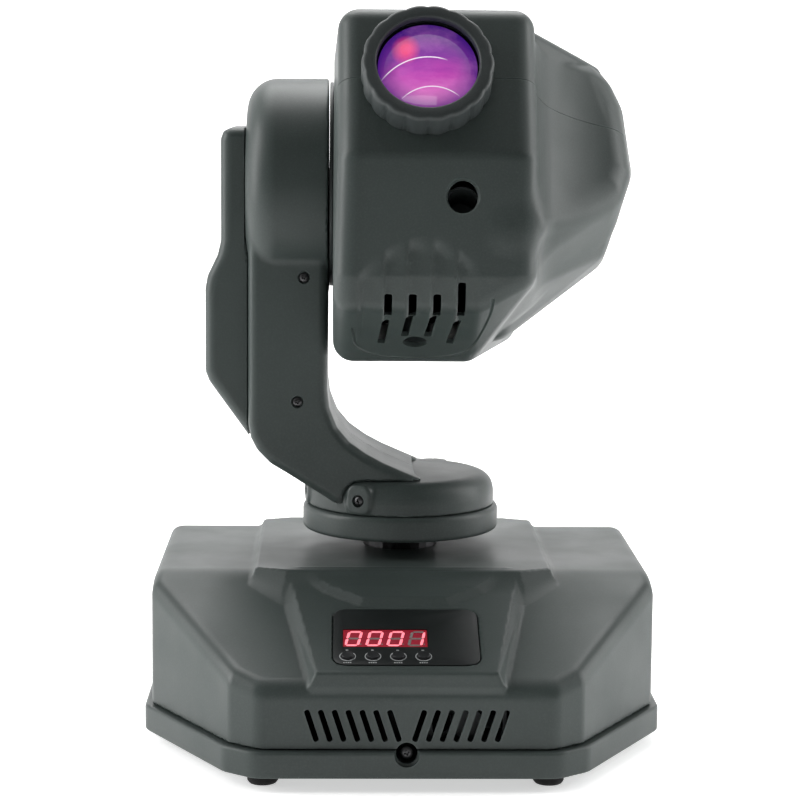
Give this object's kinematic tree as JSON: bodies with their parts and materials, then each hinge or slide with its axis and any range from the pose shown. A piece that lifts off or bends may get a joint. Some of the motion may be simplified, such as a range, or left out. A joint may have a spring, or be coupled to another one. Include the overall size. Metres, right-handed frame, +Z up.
{
  "type": "moving head light",
  "caption": "Single-arm moving head stage light: faceted floor base with a small control display, panning curved yoke arm and tilting head with a projecting front lens.",
  "frame": {"origin": "floor level under the pan axis, at the centre of the base's footprint", "axes": "+Z up along the pan axis; -Y is the front, the side with the display; the yoke's arm stands on the -X side and the tilt axis lies along X"},
  "size_m": [0.324, 0.399, 0.4579],
  "materials": {
    "body_grey": "moulded satin, fine texture",
    "dark_plastic": "moulded matt",
    "panel_black": "smooth printed panel",
    "display_red": "clear red window",
    "button_black": "moulded matt",
    "rubber_black": "matt",
    "screw_steel": "blackened",
    "plate_steel": "zinc plated",
    "turned_aluminium": "turned",
    "reflector_bright": "polished",
    "lens_glass": "coated, purple reflection",
    "clear_glass": "polished",
    "board_green": "lacquered board",
    "core_copper": "varnished winding and core",
    "ceramic_white": "ceramic"
  },
  "bodies": {
    "base": {"base_tray": "body_grey", "base_cover": "body_grey", "foot_front_left": "rubber_black", "foot_front_right": "rubber_black", "foot_rear_left": "rubber_black", "foot_rear_right": "rubber_black", "display_panel": "panel_black", "led_display": "display_red", "base_screw_front": "screw_steel", "base_screw_rear": "screw_steel", "mains_inlet": "dark_plastic", "fuse_holder": "dark_plastic", "dmx_in_socket": "dark_plastic", "dmx_out_socket": "dark_plastic", "power_transformer": "core_copper", "main_board": "board_green", "base_fan_frame": "dark_plastic", "pan_bearing": "screw_steel", "pan_motor": "plate_steel", "pan_belt": "rubber_black"},
    "yoke": {"turntable": "body_grey", "turntable_cover": "body_grey", "pan_shaft": "turned_aluminium", "pan_pulley": "turned_aluminium", "arm_front_shell": "body_grey", "arm_rear_shell": "body_grey", "arm_motor_cover": "body_grey", "arm_screw_upper": "screw_steel", "arm_screw_lower": "screw_steel", "yoke_frame": "plate_steel", "tilt_bearing": "turned_aluminium", "tilt_motor": "plate_steel", "tilt_belt": "rubber_black"},
    "head": {"head_lower_shell": "body_grey", "head_upper_shell": "body_grey", "tilt_flange": "dark_plastic", "tilt_shaft": "turned_aluminium", "tilt_pulley": "turned_aluminium", "lens_barrel": "dark_plastic", "condenser_lens": "clear_glass", "colour_motor": "plate_steel", "gobo_motor": "plate_steel", "lamp": "clear_glass", "lamp_socket": "ceramic_white", "reflector": "reflector_bright", "head_chassis": "plate_steel", "head_fan_frame": "dark_plastic"},
    "menu_button_1": {"menu_button_1": "button_black"},
    "menu_button_2": {"menu_button_2": "button_black"},
    "menu_button_3": {"menu_button_3": "button_black"},
    "menu_button_4": {"menu_button_4": "button_black"},
    "base_fan": {"base_fan_rotor": "dark_plastic"},
    "pan_motor_pulley": {"pan_motor_pulley": "turned_aluminium"},
    "tilt_motor_pulley": {"tilt_motor_pulley": "turned_aluminium"},
    "focus_ring": {"focus_ring": "dark_plastic"},
    "colour_wheel": {"colour_wheel": "turned_aluminium"},
    "gobo_wheel": {"gobo_wheel": "turned_aluminium"},
    "head_fan": {"head_fan_rotor": "dark_plastic"},
    "front_lens_group": {"front_lens_cell": "dark_plastic", "front_lens": "lens_glass"}
  },
  "joints": [
    {"name": "pan", "type": "hinge", "parent": "base", "child": "yoke", "pos_m": [0, 0, 0.13], "axis": [0, 0, 1], "range_deg": [-270, 270]},
    {"name": "tilt", "type": "hinge", "parent": "yoke", "child": "head", "pos_m": [0, 0, 0.347], "axis": [-1, 0, 0], "range_deg": [-72.5, 192.5]},
    {"name": "pan_motor_turn", "type": "hinge", "parent": "base", "child": "pan_motor_pulley", "pos_m": [0.078, 0, 0.067], "axis": [0, 0, 1], "range_deg": [-1352, 1352]},
    {"name": "tilt_motor_turn", "type": "hinge", "parent": "yoke", "child": "tilt_motor_pulley", "pos_m": [-0.08, 0, 0.236], "axis": [-1, 0, 0], "range_deg": [-410, 1085]},
    {"name": "focus_turn", "type": "hinge", "parent": "head", "child": "focus_ring", "pos_m": [0.0106, -0.12731, 0.4205], "axis": [0, -0.866, 0.5], "range_deg": [-120, 120]},
    {"name": "focus_slide", "type": "slide", "parent": "head", "child": "front_lens_group", "axis": [0, -0.866, 0.5], "range_m": [-0.004, 0.004]},
    {"name": "colour_wheel_turn", "type": "hinge", "parent": "head", "child": "colour_wheel", "pos_m": [0.0106, -0.02393, 0.32155], "axis": [0, -0.866, 0.5], "continuous": true},
    {"name": "gobo_wheel_turn", "type": "hinge", "parent": "head", "child": "gobo_wheel", "pos_m": [0.0106, -0.03432, 0.32755], "axis": [0, -0.866, 0.5], "continuous": true},
    {"name": "head_fan_turn", "type": "hinge", "parent": "head", "child": "head_fan", "pos_m": [0.0106, 0.09896, 0.2864], "axis": [0, 0.866, -0.5], "continuous": true},
    {"name": "base_fan_turn", "type": "hinge", "parent": "base", "child": "base_fan", "pos_m": [0.036, -0.172, 0.038], "axis": [0, -1, 0], "continuous": true},
    {"name": "menu_button_1_press", "type": "slide", "parent": "base", "child": "menu_button_1", "axis": [0, 0.3219, -0.9468], "range_m": [0, 0.001], "stiffness_N_per_m": 400},
    {"name": "menu_button_2_press", "type": "slide", "parent": "base", "child": "menu_button_2", "axis": [0, 0.3219, -0.9468], "range_m": [0, 0.001], "stiffness_N_per_m": 400},
    {"name": "menu_button_3_press", "type": "slide", "parent": "base", "child": "menu_button_3", "axis": [0, 0.3219, -0.9468], "range_m": [0, 0.001], "stiffness_N_per_m": 400},
    {"name": "menu_button_4_press", "type": "slide", "parent": "base", "child": "menu_button_4", "axis": [0, 0.3219, -0.9468], "range_m": [0, 0.001], "stiffness_N_per_m": 400}
  ],
  "couplings": [
    {"joint": "pan_motor_turn", "follows": "pan", "ratio": 5},
    {"joint": "tilt_motor_turn", "follows": "tilt", "ratio": 5.625},
    {"joint": "focus_slide", "follows": "focus_turn", "m_per_rad": 0.0019}
  ]
}
